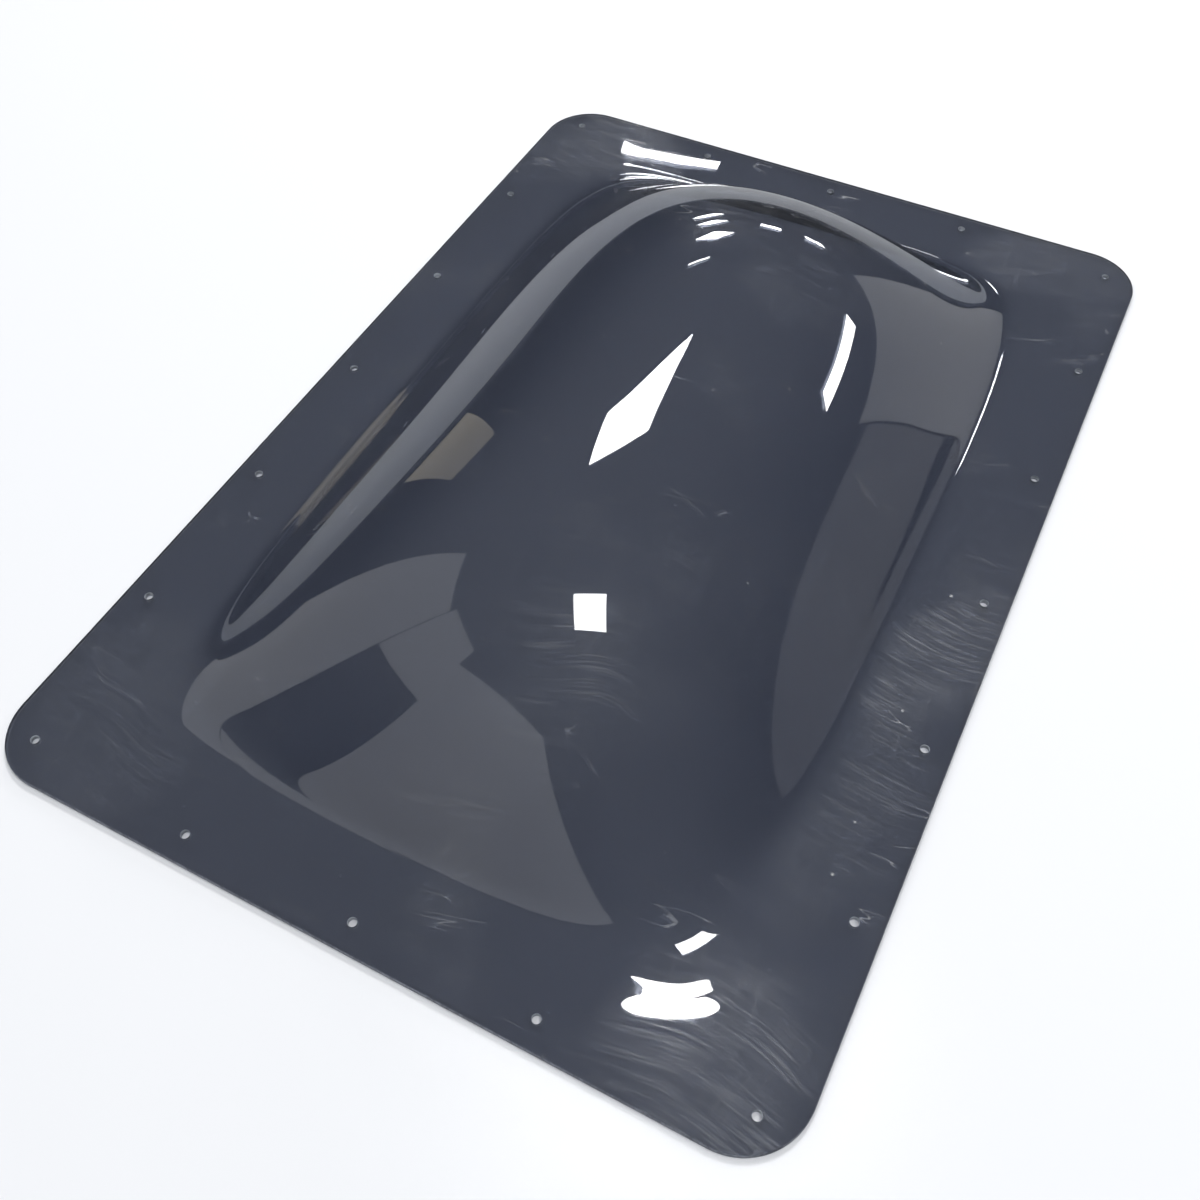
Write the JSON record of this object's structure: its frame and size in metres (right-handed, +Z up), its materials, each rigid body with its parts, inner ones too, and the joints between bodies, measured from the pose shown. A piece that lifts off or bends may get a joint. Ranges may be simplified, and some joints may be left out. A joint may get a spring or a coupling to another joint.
{
  "type": "roof opening dome cover",
  "caption": "One-piece blown plastic dome for a rectangular roof opening, smoke-tinted and clear, with a flat drilled rim and rounded corners.",
  "frame": {"origin": "middle of the rim's underside, at the bottom of the box", "axes": "+Z up through the crown, +Y along the longer side, +X along the shorter side"},
  "size_m": [0.4444, 0.648, 0.103],
  "materials": {
    "smoke_plastic": "glossy clear smoke tint, lightly scuffed"
  },
  "bodies": {
    "root": {"dome_shell": "smoke_plastic"}
  },
  "joints": []
}
